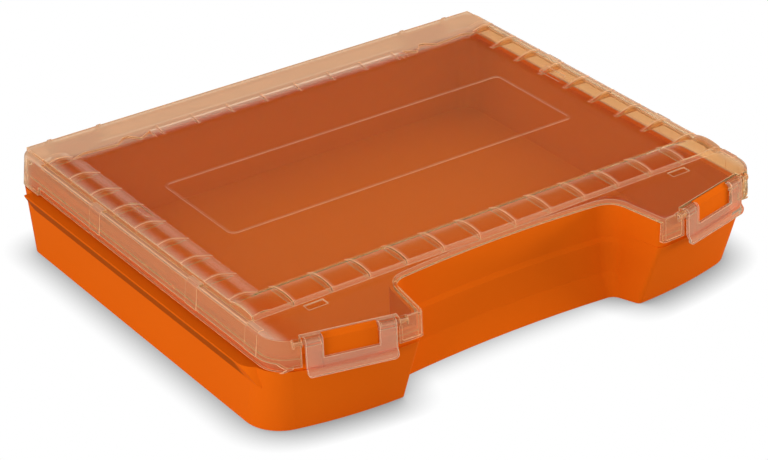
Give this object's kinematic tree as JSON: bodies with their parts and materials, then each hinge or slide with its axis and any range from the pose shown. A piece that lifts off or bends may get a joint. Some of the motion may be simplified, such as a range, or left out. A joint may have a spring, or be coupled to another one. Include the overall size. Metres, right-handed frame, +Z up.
{
  "type": "stackable tool case",
  "caption": "Flat stackable parts case: moulded tub with side rails and a front hand recess, clear hinged lid and swinging front latches.",
  "frame": {"origin": "middle of the outline on the ground, under the closed case", "axes": "+X to the right seen from the front, +Y back to the hinges, +Z up"},
  "size_m": [0.367, 0.3163, 0.0723],
  "materials": {
    "tub": "fine spark texture",
    "clear_lid": "clear polycarbonate",
    "clear_latch": "clear polycarbonate",
    "clear_pin": "clear polycarbonate",
    "steel": "drawn"
  },
  "bodies": {
    "base": {"base_tub": "tub", "rear_hinge_pin_left": "steel", "rear_hinge_pin_right": "steel"},
    "lid": {"lid": "clear_lid", "latch_pin_left_outer": "clear_pin", "latch_pin_left_inner": "clear_pin", "latch_pin_right_outer": "clear_pin", "latch_pin_right_inner": "clear_pin"},
    "latch_left": {"latch_left": "clear_latch"},
    "latch_right": {"latch_right": "clear_latch"}
  },
  "joints": [
    {"name": "lid_hinge", "type": "hinge", "parent": "base", "child": "lid", "pos_m": [0, 0.1542, 0.0605], "axis": [-1, 0, 0], "range_deg": [0, 105]},
    {"name": "latch_left_hinge", "type": "hinge", "parent": "lid", "child": "latch_left", "pos_m": [-0.13191, -0.1468, 0.06495], "axis": [-0.9744, 0.225, 0], "range_deg": [0, 80]},
    {"name": "latch_right_hinge", "type": "hinge", "parent": "lid", "child": "latch_right", "pos_m": [0.13191, -0.1468, 0.06495], "axis": [-0.9744, -0.225, 0], "range_deg": [0, 80]}
  ]
}
